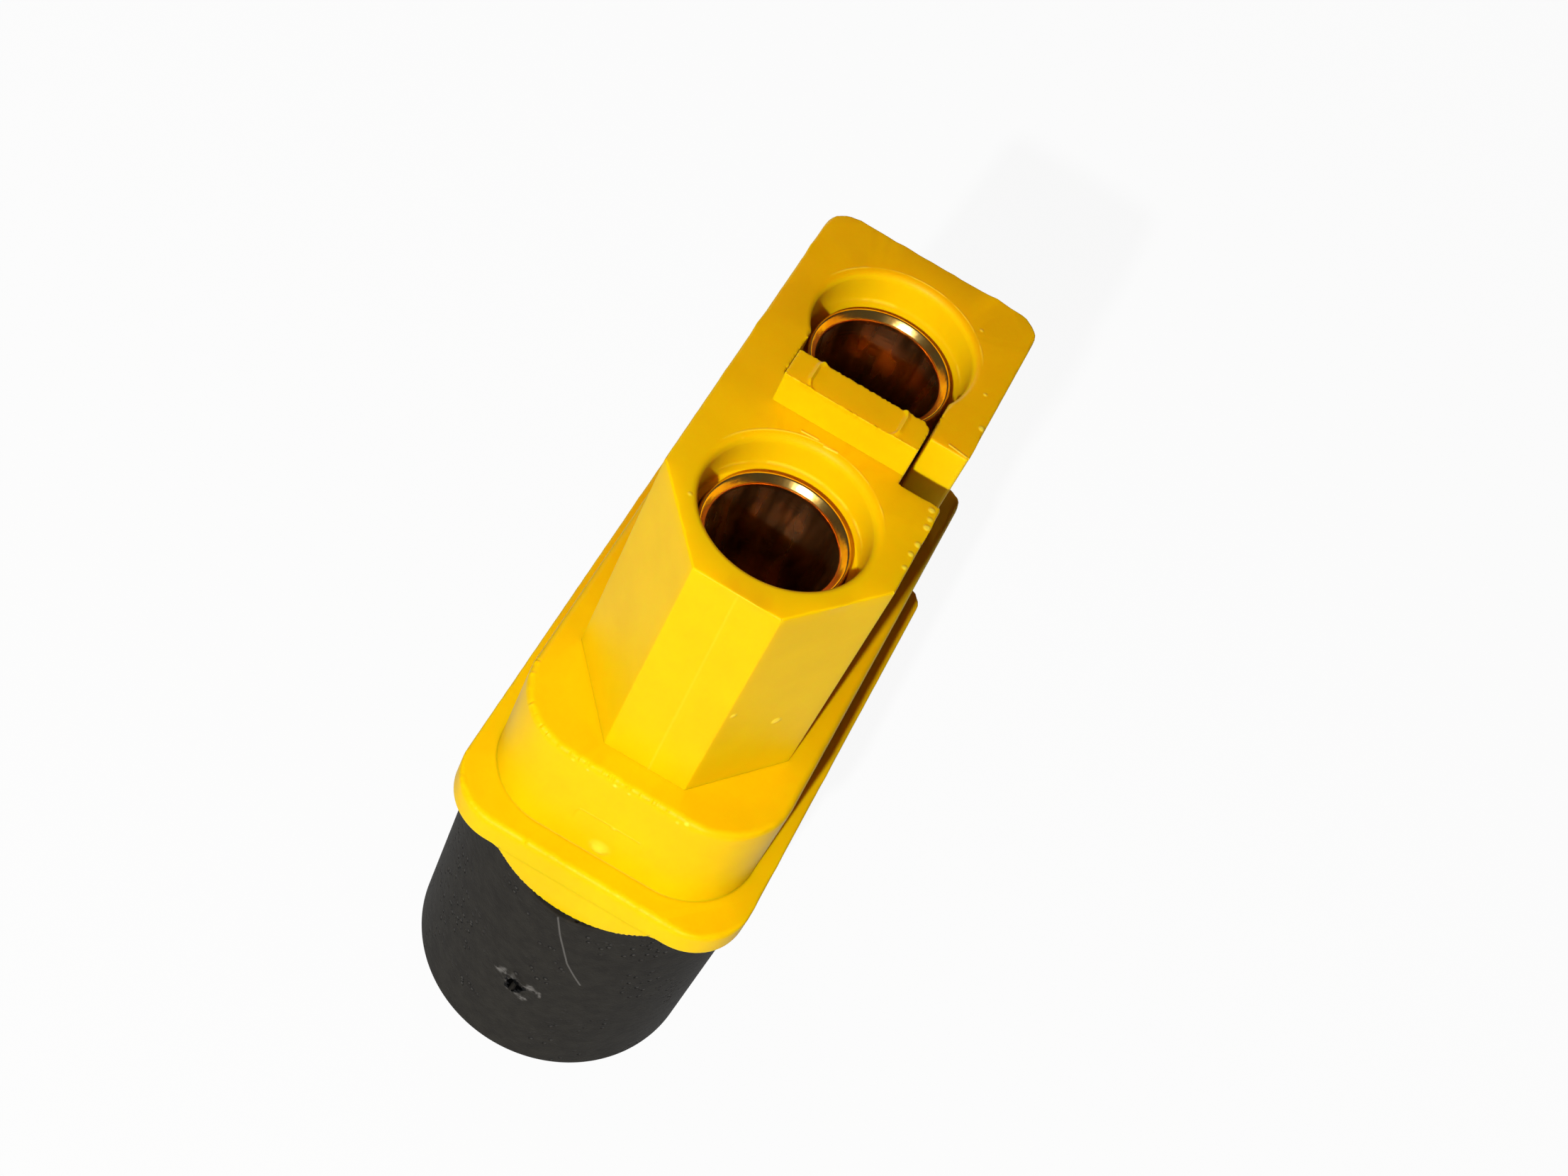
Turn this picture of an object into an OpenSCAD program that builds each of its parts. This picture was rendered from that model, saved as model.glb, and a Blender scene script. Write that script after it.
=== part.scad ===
// Two-pole battery lead connector, socket half, with a push-on rear cap.
// The moulded housing carries two turned contacts: a lead is soldered into the rear cup of
// each contact, and the cap then slides up over the cups and clips onto the housing.
//
// Frame: +Z is the way the mating half comes on, the rear rim of the cap stands on z = 0,
// and the two contacts lie along Y, evenly about the origin. The end of the nose with the
// cut corners is at -Y and the square end at +Y. The keying notch opens toward +X.

/* [Nose] */
// Width of the nose, across the pair of contacts
nose_w = 10.1; // [9.6:0.1:12]
// Length of the nose, along the pair of contacts
nose_l = 21.0; // [20.4:0.1:24]
// Height of the nose above the shoulder
nose_h = 12.8; // [9:0.1:18]
// Shift of the nose's middle toward its square end
nose_shift = 0.25; // [0:0.05:0.5]
// Cut corners at the -Y end, measured across the nose
nose_cut_x = 3.15; // [1.5:0.05:3.6]
// Cut corners at the -Y end, measured along the nose
nose_cut_y = 3.95; // [1.5:0.05:4.4]
// Corner radius at the square end of the nose
nose_r = 1.2; // [0.4:0.1:2]

/* [Shoulder and flange] */
// Height of the shoulder between the flange and the nose
shoulder_h = 5.75; // [3:0.05:9]
// Ledge of the shoulder along each side of the nose
ledge_side = 1.15; // [0.6:0.05:2]
// Ledge of the shoulder at the cut-corner end
ledge_near = 1.3; // [0.6:0.05:2]
// Ledge of the shoulder at the square end
ledge_far = 1.4; // [0.6:0.05:1.6]
// Corner radius of the shoulder at the cut-corner end
shoulder_r_near = 3.4; // [1.5:0.1:4]
// Corner radius of the shoulder at the square end
shoulder_r_far = 1.0; // [0.4:0.1:2]
// Thickness of the flange under the shoulder
flange_t = 1.45; // [1:0.05:2.5]
// Lip of the flange along each side of the shoulder
lip_side = 0.85; // [0.5:0.05:1.5]
// Lip of the flange at the cut-corner end
lip_near = 1.2; // [0.6:0.05:2]
// Distance that the flange stops short of the shoulder's square end
flange_stop = 1.6; // [0.8:0.1:4]
// Corner radius of the flange at the cut-corner end
flange_r_near = 2.65; // [1.5:0.05:4]
// Corner radius of the flange at the square end
flange_r_far = 1.05; // [0.4:0.05:2]

/* [Contacts] */
// Distance between the axes of the two contacts
pitch = 10.9; // [10.4:0.1:11.4]
// Bore that the mating pin slides into
pin_bore_d = 4.5; // [4:0.1:4.8]
// Depth of that bore below the contact's mouth
pin_bore_depth = 15; // [10:0.5:17]
// Outer diameter of the contact
contact_d = 6.3; // [6.1:0.05:6.5]
// Diameter of the flared mouth at its rim
mouth_d = 5.6; // [5:0.1:5.8]
// Depth over which the mouth closes down to the bore
mouth_flare = 1.1; // [0.5:0.1:2]
// Depth of the contact's rim below the mating face
rim_depth = 1.7; // [1:0.1:3]
// Step of the retention collar around the contact
collar_step = 0.45; // [0.3:0.05:0.6]
// Length of the retention collar
collar_l = 1.6; // [1:0.1:2.4]
// Bore of the solder cup
cup_bore_d = 5.2; // [4.6:0.1:5.4]
// Depth of the solder cup
cup_depth = 7.5; // [5:0.5:9]
// Height lost on the low side of the cup's slanted mouth
cup_slant = 2.0; // [1:0.1:3]
// Height of the cup's end above the rear rim of the cap
cup_end = 7; // [5:0.5:8]

/* [Wells, rib and notch] */
// Diameter of the round well around each contact's mouth
well_d = 7.1; // [6.9:0.05:7.3]
// Depth of the well below the mating face
well_depth = 2.2; // [2:0.1:4]
// Rounding of the well's upper edge
well_round = 0.35; // [0.1:0.05:0.5]
// Width of the raised rib, across the nose
rib_w = 6.0; // [4:0.1:6.2]
// Thickness of the raised rib, along the nose
rib_t = 1.58; // [1:0.02:1.8]
// Height of the raised rib above the mating face
rib_h = 1.65; // [0.5:0.05:3]
// Shift of the rib and the pocket toward the notch
rib_shift_x = 0.1; // [0:0.05:0.2]
// Shift of the rib's middle toward the cut-corner end
rib_shift_y = 0.08; // [0:0.02:0.3]
// Corner radius of the rib, at the corner beside the notch and the pocket
rib_r = 0.45; // [0.1:0.05:0.6]
// Width of the pocket behind the rib
pocket_w = 6.3; // [5:0.1:6.5]
// Length of the pocket, from the rib toward the square end
pocket_l = 2.8; // [2:0.1:3.4]
// Width of the side notch
notch_w = 2.95; // [2:0.05:3.2]
// Shift of the notch's middle toward the square end
notch_shift = 0.16; // [0:0.02:0.3]
// Depth of the notch and the pocket below the mating face
notch_depth = 5; // [3:0.1:8]

/* [Rear cap] */
// Height of the cap
cap_h = 15.75; // [13.5:0.05:20]
// Wall of the cap at its rear rim
cap_wall = 1.2; // [0.8:0.1:1.6]
// Radius that the cap loses from the flange down to its rear rim
cap_draft = 0.25; // [0.1:0.05:0.5]
// Length of the housing's spigot inside the cap
spigot_l = 5; // [4:0.1:6]
// Width of the arched tongue that hangs from the flange into the cap's end
tongue_w = 7.45; // [5:0.05:8]
// Drop of the tongue's arch below the flange
tongue_drop = 2.0; // [1:0.1:3]
// Radius of the snap bead on each long side of the spigot
bead_r = 0.3; // [0.2:0.05:0.4]

/* [Clearances] */
// Gap between the spigot and the inside of the cap, and around the tongue and the beads
cap_gap = 0.1; // [0.05:0.01:0.2]
// Gap around a contact in its bore
contact_gap = 0.1; // [0.05:0.01:0.2]

/* [Hidden] */

$fn = 96;

// Overlap of joined and cut volumes
eps = 0.01;
// Reach of a cut beyond the surface that it opens
past = 1;

// Heights of the steps, from the rear rim upward
flange_z = cap_h;
shoulder_z = flange_z + flange_t;
nose_z = shoulder_z + shoulder_h;
face_z = nose_z + nose_h;
spigot_z = flange_z - spigot_l;

// Ends of the outlines along Y
nose_near = nose_shift - nose_l / 2;
nose_far = nose_shift + nose_l / 2;
shoulder_near = nose_near - ledge_near;
shoulder_far = nose_far + ledge_far;
flange_near = shoulder_near - lip_near;
flange_far = shoulder_far - flange_stop;

// Widths of the outlines along X
shoulder_w = nose_w + 2 * ledge_side;
flange_w = shoulder_w + 2 * lip_side;

// The cap: flush with the flange's sides on top, and with its cut-corner end at the rim
cap_top_r = flange_w / 2;
cap_rim_r = cap_top_r - cap_draft;
cap_centre = -flange_near - cap_rim_r;
cap_bore_r = cap_rim_r - cap_wall;
spigot_r = cap_bore_r - cap_gap;

// Arch of the tongue: a circle through both ends of its chord and its lowest point
tongue_r = (pow(tongue_w / 2, 2) + pow(tongue_drop, 2)) / (2 * tongue_drop);

// Places of the contacts and of the steps along them
contact_y = pitch / 2;
contact_r = contact_d / 2;
collar_r = contact_r + collar_step;
rim_z = face_z - rim_depth;
well_floor = face_z - well_depth;
cup_top = cup_end + cup_depth;
collar_top = spigot_z + spigot_l / 2;

// The rib and the pocket behind it
rib_x = rib_shift_x - rib_w / 2;
rib_far = rib_t / 2 - rib_shift_y;
snap_z = flange_z - spigot_l / 2;

// Rounded rectangle from y0 to y1 about x = 0, with its own radius at each end
module end_rounded(w, y0, y1, r0, r1) {
    translate([-w / 2, y0 + r0]) square([w, y1 - r1 - y0 - r0]);
    translate([-w / 2 + r0, y0]) square([w - 2 * r0, y1 - r1 - y0]);
    translate([-w / 2 + r1, y0 + r0]) square([w - 2 * r1, y1 - y0 - r0]);
    for (side = [-1, 1]) {
        translate([side * (w / 2 - r0), y0 + r0]) circle(r0);
        translate([side * (w / 2 - r1), y1 - r1]) circle(r1);
    }
}

// Outline of the nose: cut corners at the -Y end and round ones at the square end
module nose_outline() {
    half = nose_w / 2;
    straight_end = nose_far - nose_r;
    polygon([
        [-half + nose_cut_x, nose_near],
        [half - nose_cut_x, nose_near],
        [half, nose_near + nose_cut_y],
        [half, straight_end],
        [-half, straight_end],
        [-half, nose_near + nose_cut_y]
    ]);
    translate([nose_r - half, straight_end - nose_r]) square([nose_w - 2 * nose_r, 2 * nose_r]);
    for (side = [-1, 1])
        translate([side * (half - nose_r), straight_end]) circle(nose_r);
}

// Upright stadium between the cap's two end centres, with a radius at each height
module stadium(z0, z1, r0, r1) {
    for (side = [-1, 1])
        translate([0, side * cap_centre, z0]) cylinder(h = z1 - z0, r1 = r0, r2 = r1);
    translate([0, cap_centre, 0])
        rotate([90, 0, 0])
            linear_extrude(2 * cap_centre)
                polygon([[-r0, z0], [r0, z0], [r1, z1], [-r1, z1]]);
}

// Arched tongue, reaching from the flange's end wall in to the spigot
module tongue(gap, reach) {
    translate([0, -cap_centre, 0])
        rotate([90, 0, 0])
            linear_extrude(-flange_near - cap_centre + reach)
                intersection() {
                    translate([0, flange_z - tongue_drop + tongue_r]) circle(tongue_r + gap);
                    translate([-tongue_w / 2 - gap, flange_z - tongue_drop - gap])
                        square([tongue_w + 2 * gap, tongue_drop + gap + eps]);
                }
}

// Snap beads along both long sides of the spigot, or their grooves when there is a gap
module snap_beads(gap) {
    reach = cap_centre - bead_r + gap;
    for (side = [-1, 1])
        translate([side * spigot_r, reach, snap_z])
            rotate([90, 0, 0]) cylinder(h = 2 * reach, r = bead_r + gap, $fn = 32);
}

// Round well with a rounded upper edge, cut from the mating face
module well() {
    r = well_d / 2;
    translate([0, 0, well_floor]) cylinder(h = well_depth + past, r = r);
    translate([0, 0, face_z - well_round])
        rotate_extrude()
            difference() {
                square([r + well_round, well_round + eps]);
                translate([r + well_round, 0]) circle(well_round, $fn = 48);
            }
}

// Stepped hole for one contact: tube above the collar, collar seat below it
module contact_hole() {
    translate([0, 0, spigot_z - past]) {
        cylinder(h = well_floor - spigot_z + 2 * past, r = contact_r + contact_gap);
        cylinder(h = collar_top - spigot_z + past, r = collar_r + contact_gap);
    }
}

// Keyway sunk into the mating face: the pocket behind the rib and the notch at its +X end
module keyway() {
    pocket_x = rib_shift_x - pocket_w / 2;
    notch_y = notch_shift - notch_w / 2;
    floor_z = face_z - notch_depth;
    translate([pocket_x, rib_far, floor_z])
        cube([pocket_w, pocket_l, notch_depth + past]);
    translate([rib_x + rib_w, notch_y, floor_z])
        cube([nose_w / 2 + past - rib_x - rib_w, notch_w, notch_depth + past]);
}

// Raised rib on the mating face, rounded at the corner between the notch and the pocket
module rib() {
    x1 = rib_x + rib_w;
    y0 = rib_far - rib_t;
    translate([0, 0, face_z - eps])
        linear_extrude(rib_h + eps) {
            translate([rib_x, y0]) square([rib_w, rib_t - rib_r]);
            translate([rib_x, y0]) square([rib_w - rib_r, rib_t]);
            translate([x1 - rib_r, rib_far - rib_r]) circle(rib_r, $fn = 48);
        }
}

module housing() {
    color([0.96, 0.76, 0.03])
        difference() {
            union() {
                translate([0, 0, nose_z - eps])
                    linear_extrude(nose_h + eps) nose_outline();
                translate([0, 0, flange_z])
                    linear_extrude(flange_t + shoulder_h)
                        end_rounded(shoulder_w, shoulder_near, shoulder_far,
                                    shoulder_r_near, shoulder_r_far);
                translate([0, 0, flange_z])
                    linear_extrude(flange_t)
                        end_rounded(flange_w, flange_near, flange_far,
                                    flange_r_near, flange_r_far);
                stadium(spigot_z, flange_z + eps, spigot_r, spigot_r);
                tongue(0, 0);
                snap_beads(0);
                rib();
            }
            for (side = [-1, 1])
                translate([0, side * contact_y, 0]) {
                    well();
                    contact_hole();
                }
            keyway();
        }
}

// Turned contact about the Z axis: flared mouth and bore on top, solder cup at the rear
module contact() {
    bore_r = pin_bore_d / 2;
    cup_r = cup_bore_d / 2;
    mouth_r = mouth_d / 2;
    break_edge = 0.12;
    bore_end = rim_z - pin_bore_depth;
    color([0.86, 0.66, 0.28])
        difference() {
            rotate_extrude()
                polygon([
                    [0, cup_top],
                    [cup_r, cup_top],
                    [cup_r, cup_end],
                    [contact_r, cup_end],
                    [contact_r, collar_top - collar_l],
                    [collar_r, collar_top - collar_l],
                    [collar_r, collar_top],
                    [contact_r, collar_top],
                    [contact_r, rim_z - break_edge],
                    [contact_r - break_edge, rim_z],
                    [mouth_r, rim_z],
                    [bore_r, rim_z - mouth_flare],
                    [bore_r, bore_end],
                    [0, bore_end]
                ]);
            translate([0, contact_r, cup_end])
                rotate([-atan(cup_slant / contact_d), 0, 0])
                    translate([-contact_d, -2 * contact_d, -contact_d])
                        cube([2 * contact_d, 3 * contact_d, contact_d]);
        }
}

module contact_cut_end() {
    translate([0, -contact_y, 0]) contact();
}

module contact_square_end() {
    translate([0, contact_y, 0]) rotate([0, 0, 180]) contact();
}

module rear_cap() {
    color([0.22, 0.21, 0.20])
        difference() {
            stadium(0, cap_h, cap_rim_r, cap_top_r);
            stadium(-past, cap_h + past, cap_bore_r, cap_bore_r);
            tongue(cap_gap, past);
            snap_beads(cap_gap);
        }
}

housing();
contact_cut_end();
contact_square_end();
rear_cap();
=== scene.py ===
# %% [markdown]
# # A keyed battery lead connector
#
# This lesson dresses a small two-pole power connector: a yellow moulded housing, two gold-plated
# socket contacts and a black cap over the solder joints. The solids that carry it come from the
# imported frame, and each visible piece is made again here as a surface with soft edges, so that
# the light can run along them as it does on a real moulding.

# %% Load the frame and the tools
import math

import bmesh
import bpy
import numpy as np
from mathutils import Matrix, Vector
from mathutils.geometry import delaunay_2d_cdt


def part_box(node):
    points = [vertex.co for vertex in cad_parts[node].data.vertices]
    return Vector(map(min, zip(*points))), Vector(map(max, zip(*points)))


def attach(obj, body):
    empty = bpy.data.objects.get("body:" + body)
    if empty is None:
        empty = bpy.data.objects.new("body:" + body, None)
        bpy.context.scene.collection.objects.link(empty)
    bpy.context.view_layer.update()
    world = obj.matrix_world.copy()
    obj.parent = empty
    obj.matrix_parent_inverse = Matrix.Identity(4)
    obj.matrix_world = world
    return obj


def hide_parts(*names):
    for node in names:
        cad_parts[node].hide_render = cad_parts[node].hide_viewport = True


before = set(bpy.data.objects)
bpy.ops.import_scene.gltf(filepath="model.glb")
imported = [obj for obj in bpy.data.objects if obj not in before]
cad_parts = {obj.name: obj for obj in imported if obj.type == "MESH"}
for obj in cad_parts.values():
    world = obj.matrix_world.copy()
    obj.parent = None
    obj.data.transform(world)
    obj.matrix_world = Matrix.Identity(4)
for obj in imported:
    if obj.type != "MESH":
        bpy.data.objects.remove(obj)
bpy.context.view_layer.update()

MM = 0.001

# %% [markdown]
# ## Sizes
#
# The heights of the steps and the reach of each piece are read from the frame where its boxes
# show them. The rest are the drawing sizes of the mouldings, in millimetres, with +Z toward the
# mating half, the two contacts in a row along Y and the side notch opening toward +X.


# %% Sizes of the mouldings
def box_mm(node):
    """Lowest and highest corner of a frame node, as arrays in millimetres."""
    low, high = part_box(node)
    return np.array(low) / MM, np.array(high) / MM


housing_low, housing_high = box_mm("housing")
cap_high = box_mm("rear_cap")[1]
contact_low, contact_high = box_mm("contact_cut_end")

# Heights of the steps, from the rear rim upward
rib_height, flange_thick, shoulder_height = 1.65, 1.45, 5.75
rib_top = housing_high[2]
face_z = rib_top - rib_height
flange_z = cap_high[2]
shoulder_z = flange_z + flange_thick
nose_z = shoulder_z + shoulder_height
spigot_z = housing_low[2]

# Contacts: places, radii and depths
rim_z = contact_high[2]
cup_end = contact_low[2]
contact_y = -(contact_low[1] + contact_high[1]) / 2
tube_r, collar_r = 3.15, 3.6
bore_r, mouth_r, cup_r = 2.25, 2.74, 2.6
bore_depth, cup_depth, lead_in_depth = 15.0, 7.5, 4.0
bore_end, cup_top, cup_slant = rim_z - bore_depth, cup_end + cup_depth, 2.0
collar_top, collar_length = spigot_z + 2.5, 1.6

# Nose, shoulder and flange, seen from above
nose_half = 5.05
nose_near, nose_far = -10.25, 10.75
nose_cut = (3.15, 3.95)
shoulder_half = 6.2
shoulder_near, shoulder_far = nose_near - 1.3, nose_far + 1.4
flange_half = housing_high[0]
flange_near, flange_far = housing_low[1], shoulder_far - 1.6

# Wells, holes, rib, pocket and notch
well_r, well_depth, well_round = 3.55, 2.2, 0.42
well_floor = face_z - well_depth
hole_r, seat_r = 3.25, 3.7
keyway_depth = 5.0
keyway_floor = face_z - keyway_depth
rib_x = (-2.9, 3.1)
rib_y = (-0.87, 0.71)
pocket_x = (-3.05, 3.25)
notch_y = (-1.315, 1.635)

# Cap and tongue
cap_draft, cap_wall, cap_gap = 0.25, 1.2, 0.1
cap_top_r = cap_high[0]
cap_rim_r = cap_top_r - cap_draft
cap_centre = cap_high[1] - cap_top_r
cap_bore_r = cap_rim_r - cap_wall
tongue_half, tongue_drop = 3.725, 2.0
tongue_r = (tongue_half ** 2 + tongue_drop ** 2) / (2 * tongue_drop)
print("mating face at", round(float(face_z), 2), "contacts at y = +-", round(float(contact_y), 2))

# %% [markdown]
# ## Camera
#
# The camera looks down at the cut-corner end from a little over a hand's width away, rolled so
# that the connector lies diagonally across the frame.

# %% Camera
camera_place = np.array([2.41, -65.18, 104.18]) * MM
camera_aim = np.array([1.18, 0.0, 25.0]) * MM
camera_roll = math.radians(-29.57)

camera_data = bpy.data.cameras.new("camera")
camera_data.lens = 54.76
camera_data.sensor_width = 36.0
camera_data.clip_start = 0.005
camera_data.clip_end = 10.0
camera = bpy.data.objects.new("camera", camera_data)
bpy.context.scene.collection.objects.link(camera)
look = Vector(camera_aim - camera_place).to_track_quat("-Z", "Y")
camera.matrix_world = (Matrix.Translation(Vector(camera_place)) @ look.to_matrix().to_4x4()
                       @ Matrix.Rotation(-camera_roll, 4, "Z"))
bpy.context.scene.camera = camera
print("camera to aim in mm:", round(float(np.linalg.norm(camera_place - camera_aim)) / MM, 1))

# %% [markdown]
# ## Outlines
#
# Every wall of a moulding follows an outline. An outline here is a closed run of points with the
# outward direction at each one, so that a profile can be carried along it. Corners are arcs, and
# straight sides are cut into short steps wherever the surface will need fine detail.


# %% Outlines with round corners
def unit(vector):
    """The vector divided by its own length."""
    return vector / np.hypot(*vector)


def outline(corners):
    """Closed outline through corners (x, y, radius, step), listed counter-clockwise.

    Each corner is an arc that touches both of its sides: its centre lies one radius from each,
    and a point on it is the centre plus the radius times the outward direction, which turns
    evenly from one side's to the next. A radius of 0 keeps the bare point. The side after a
    corner is cut into steps no longer than that corner's step. Returns points and directions.
    """
    places = np.array([corner[:2] for corner in corners])
    count = len(corners)
    arcs = []
    for i, (x, y, radius, step) in enumerate(corners):
        a = unit(places[i] - places[i - 1])
        b = unit(places[(i + 1) % count] - places[i])
        turn = math.atan2(a[0] * b[1] - a[1] * b[0], a @ b)
        start = math.atan2(-a[0], a[1])
        if radius == 0 or abs(turn) < 1e-6:
            angle = np.array([start + turn / 2])
            direction = np.stack([np.cos(angle), np.sin(angle)], 1)
            arcs.append((places[i][None], direction))
            continue
        sign = math.copysign(1, turn)
        cut = radius * math.tan(abs(turn) / 2)
        centre = places[i] - a * cut - sign * radius * np.array([a[1], -a[0]])
        pieces = max(3, math.ceil(abs(turn) * radius / min(step, 0.25)), math.ceil(abs(turn) / 0.3))
        angle = start + np.linspace(0, turn, pieces + 1)
        direction = np.stack([np.cos(angle), np.sin(angle)], 1)
        arcs.append((centre + sign * radius * direction, direction))
    points, directions = [], []
    for i, (arc_points, arc_directions) in enumerate(arcs):
        points.append(arc_points)
        directions.append(arc_directions)
        run = arcs[(i + 1) % count][0][0] - arc_points[-1]
        length = np.hypot(*run)
        pieces = max(1, math.ceil(length / corners[i][3]))
        t = np.arange(1, pieces)[:, None] / pieces
        side = np.array([run[1], -run[0]]) / max(length, 1e-9)
        points.append(arc_points[-1] + run * t)
        directions.append(np.repeat(side[None], pieces - 1, 0))
    return np.concatenate(points), np.concatenate(directions)


square = outline([(0, 0, 1, 2), (8, 0, 1, 2), (8, 8, 1, 2), (0, 8, 1, 2)])
print("a square with round corners takes", len(square[0]), "points")

# %% [markdown]
# ## Circles and stadiums
#
# Wells and holes are circles, and the cap and the spigot are stadiums. Both could be made from
# corners too, but a direct formula puts the points at even angles, which keeps round walls even.


# %% Circles and stadiums
def circle(x, y, radius, count=96, inward=False):
    """Points on a circle: centre plus radius times (cos, sin) of an evenly rising angle.

    With inward set it is the edge of a hole: the run is clockwise, and the direction out of the
    material points to the centre.
    """
    angle = np.arange(count) * 2 * math.pi / count
    if inward:
        angle = -angle
    direction = np.stack([np.cos(angle), np.sin(angle)], 1)
    return np.array([x, y]) + radius * direction, -direction if inward else direction


def stadium(radius, centre, near_step=0.4, far_step=0.4):
    """Upright stadium: two half circles about (0, -centre) and (0, centre), joined by straights."""
    near = np.linspace(math.pi, 2 * math.pi, math.ceil(math.pi * radius / near_step) + 1)
    far = np.linspace(0, math.pi, math.ceil(math.pi * radius / far_step) + 1)
    rise = np.linspace(-centre, centre, math.ceil(2 * centre / 0.5) + 1)[1:-1]
    level = np.zeros_like(rise)
    directions = np.concatenate([
        np.stack([np.cos(near), np.sin(near)], 1), np.stack([level + 1, level], 1),
        np.stack([np.cos(far), np.sin(far)], 1), np.stack([level - 1, level], 1)])
    along = np.concatenate([near * 0 - centre, rise, far * 0 + centre, -rise])
    return directions * radius + np.stack([along * 0, along], 1), directions


print("the cap's outline takes", len(stadium(cap_top_r, cap_centre)[0]), "points")

# %% [markdown]
# ## Uneven edges
#
# No moulded edge is perfectly even: its radius wanders, and small burrs stand where the tool's
# halves met. Both are numbers along an outline, drawn from a fixed seed, so they could be painted
# as bump too; as real shape they also break up the bright line that runs along the edge.


# %% Uneven edges
def ripple(count, seed, waves=(3, 40)):
    """Smooth closed noise of about -1 to 1: a sum of sines with whole numbers of waves."""
    rng = np.random.default_rng(seed)
    t = np.arange(count) * 2 * math.pi / count
    number = rng.integers(waves[0], waves[1], 14)
    phase = rng.uniform(0, 2 * math.pi, 14)
    return np.sin(number[:, None] * t + phase[:, None]).sum(0) / 3.7


def burrs(count, seed, share, height):
    """Sparse little burrs along an edge: random values above a limit, spread to a neighbour."""
    rng = np.random.default_rng(seed)
    value = np.clip(rng.random(count) - (1 - share), 0, None) / share
    spread = value + 0.5 * np.roll(value, 1) + 0.5 * np.roll(value, -1)
    return height * np.clip(spread, 0, 1)


sample = ripple(400, 1)
print("ripple from", round(float(sample.min()), 2), "to", round(float(sample.max()), 2))

# %% [markdown]
# ## Profile of a wall
#
# Every wall here rises from a foot or a rounded lower edge to a rounded upper edge. A bevel
# modifier could round the edges, but a profile gives each place along the wall its own radius.


# %% Profile of a wall
def wall_profile(count, low, high, top=0.1, foot=0.0, bottom=0.0, burr=0.0, step=2.0, steps=6):
    """Profile of a wall with a rounded top edge and a rounded bottom edge or a fillet foot.

    Over the top edge the offset is -r (1 - cos f) and the height is high - r (1 - sin f), as f
    rises from zero at the wall to a right angle at the face; the bottom edge mirrors it. A foot
    curves outward instead, by r (1 - sin f). A burr lifts the middle of the top edge outward by
    its own height times sin 2f. Radii and burrs may be arrays, one value per outline point.
    """
    top, foot, bottom, burr = (np.broadcast_to(np.asarray(r, float), count)
                               for r in (top, foot, bottom, burr))
    f = np.linspace(0, math.pi / 2, steps)[:, None]
    base = np.maximum(bottom, foot)
    foot_offset = (foot - bottom) * (1 - np.sin(f))
    foot_height = low + base * (1 - np.cos(f))
    t = np.linspace(0, 1, max(2, math.ceil((high - low) / step) + 1))[1:-1, None]
    wall_height = low + base + t * (high - top - low - base)
    lift = burr * np.sin(2 * f)
    top_offset = -top * (1 - np.cos(f)) + lift
    top_height = high - top * (1 - np.sin(f)) + lift
    offsets = np.concatenate([foot_offset, wall_height * 0, top_offset])
    heights = np.concatenate([foot_height, wall_height, top_height])
    return offsets, heights


print("a 5 mm wall takes", len(wall_profile(1, 0, 5)[0]), "rows")

# %% [markdown]
# ## Skins
#
# A skin is a profile carried along an outline: the profile says how far the surface stands out
# from the outline and how high it is there. It is one grid of points, worked out at once.


# %% Skins
def grid_faces(rows, columns, closed=True):
    """Quads of a grid whose vertices run along each row first; the columns may close up."""
    i, j = np.meshgrid(np.arange(rows - 1), np.arange(columns if closed else columns - 1),
                       indexing="ij")
    k = (j + 1) % columns
    quads = np.stack([i * columns + j, i * columns + k, (i + 1) * columns + k,
                      (i + 1) * columns + j], -1)
    return quads.reshape(-1, 4)


def skin(points, directions, offsets, heights):
    """Surface of a profile along an outline: point + direction * offset, at each height."""
    flat = points[None] + directions[None] * offsets[..., None]
    vertices = np.concatenate([flat, heights[..., None]], -1)
    return vertices.reshape(-1, 3), grid_faces(*heights.shape)


def edge_loop(patch, columns, row):
    """The x and y of one row of a skin, to close it with a lid."""
    return patch[0].reshape(-1, columns, 3)[row, :, :2]


print("a grid of 3 rows and 4 columns has", len(grid_faces(3, 4)), "faces")

# %% [markdown]
# ## Lids
#
# The level faces have holes and notches in them, so no grid fits. They are filled with triangles
# between the outlines instead, and every triangle inside a hole is left out.


# %% Lids
def inside_loops(x, y, points, after):
    """True where a line drawn toward +X crosses the loops an odd number of times."""
    (x0, y0), (x1, y1) = points.T, points[after].T
    spans = (y0 > y[:, None]) != (y1 > y[:, None])
    crossing = x0 + (y[:, None] - y0) * (x1 - x0) / np.where(y1 == y0, 1, y1 - y0)
    return (spans & (crossing > x[:, None])).sum(1) % 2 == 1


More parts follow.
